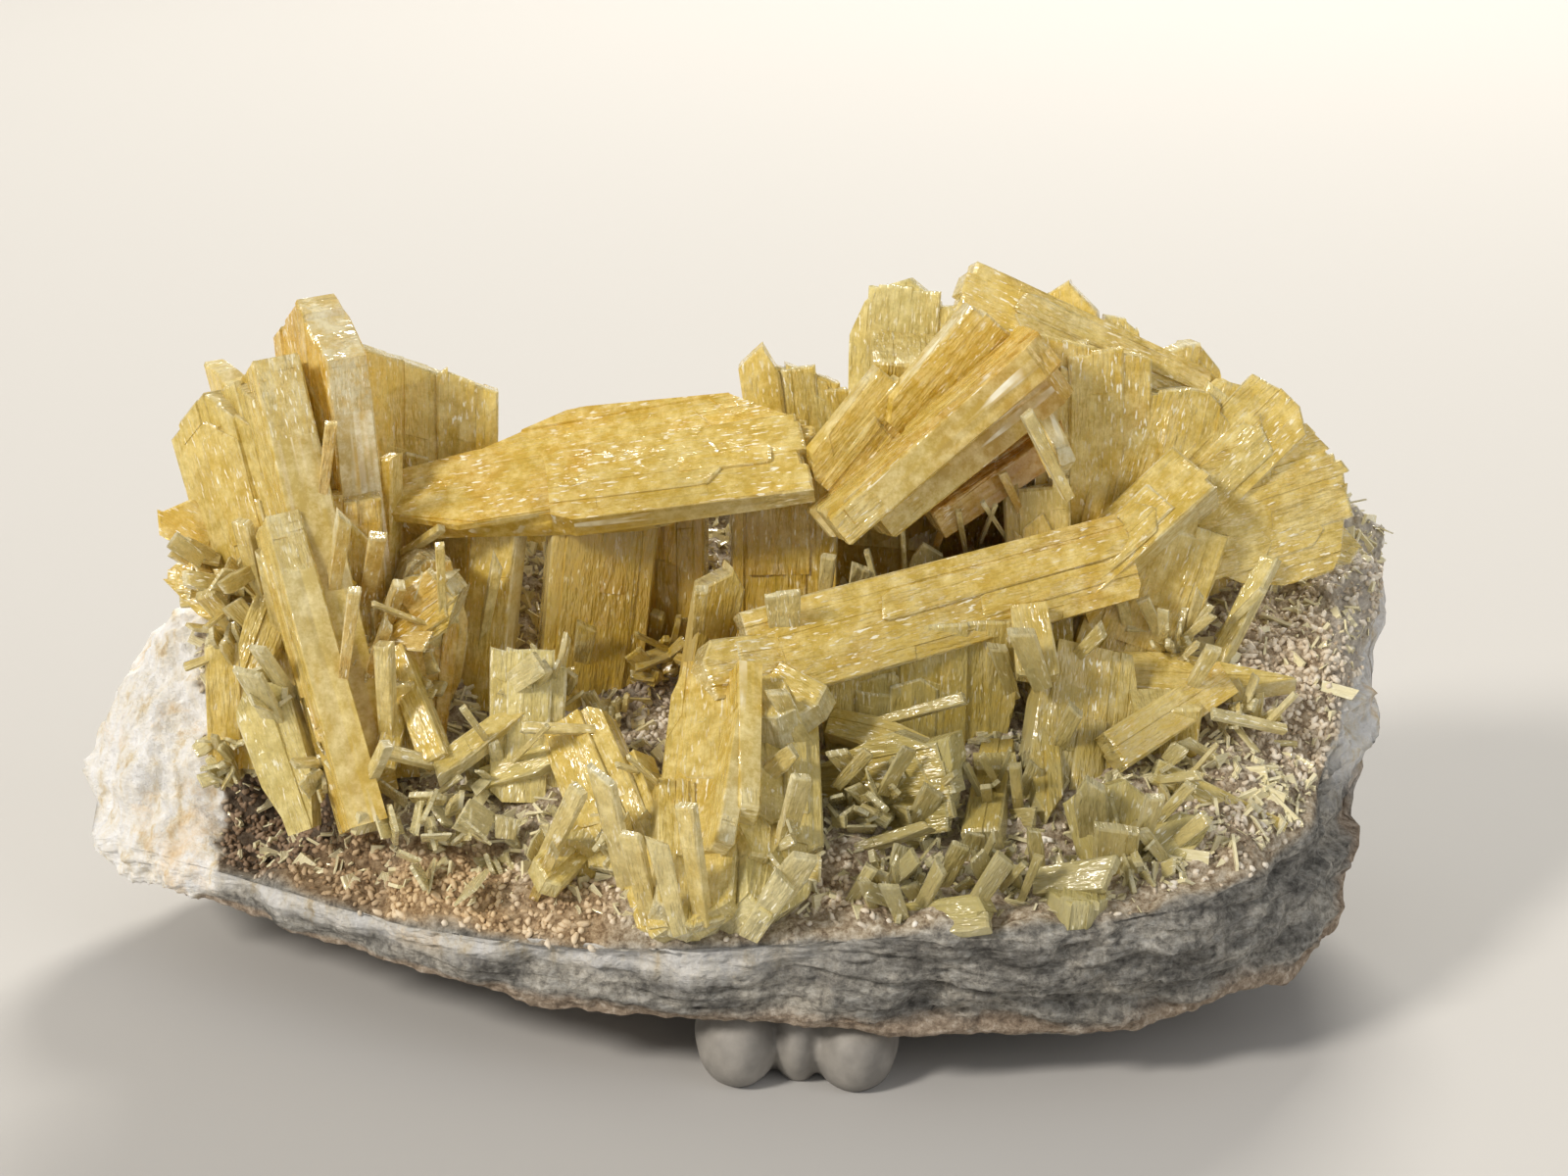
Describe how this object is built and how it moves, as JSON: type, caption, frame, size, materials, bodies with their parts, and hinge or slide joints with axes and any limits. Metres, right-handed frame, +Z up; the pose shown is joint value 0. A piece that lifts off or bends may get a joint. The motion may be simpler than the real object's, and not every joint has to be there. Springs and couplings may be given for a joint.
{
  "type": "bladed barite specimen",
  "caption": "Cabinet specimen of bladed barite: fans and stacks of honey-yellow tabular crystals on a wedge of layered grey rock, propped level by a pressed putty pad.",
  "frame": {"origin": "middle of the specimen's footprint, on the surface it rests on", "axes": "+Z up, +X to the right and +Y away from a viewer facing the crystals"},
  "size_m": [0.1627, 0.0768, 0.0862],
  "materials": {
    "rock": "broken, layered, crusted with fine crystals",
    "barite": "translucent, glassy to resinous",
    "putty": "soft, finger-pressed, matt"
  },
  "bodies": {
    "root": {"matrix": "rock", "mounting_putty": "putty", "left_blade_fan": "barite", "roof_blade_group": "barite", "chisel_in_the_hollow": "barite", "right_blade_stack": "barite", "ridge_and_right_fan": "barite", "front_rosette": "barite", "lower_right_blades": "barite", "right_edge_splinter": "barite", "lower_right_pair": "barite", "round_centre_blade": "barite", "centre_lath": "barite", "twin_centre_lath": "barite", "front_rim_crystal": "barite", "front_rim_chisel": "barite", "lower_left_laths": "barite", "lower_left_plates": "barite", "lower_middle_spear": "barite", "front_left_spike": "barite", "pocket_edge_crystal": "barite", "six_sided_crystal": "barite", "right_shelf_lath": "barite", "back_right_blade": "barite", "back_left_blades": "barite", "back_middle_blades": "barite"}
  },
  "joints": []
}
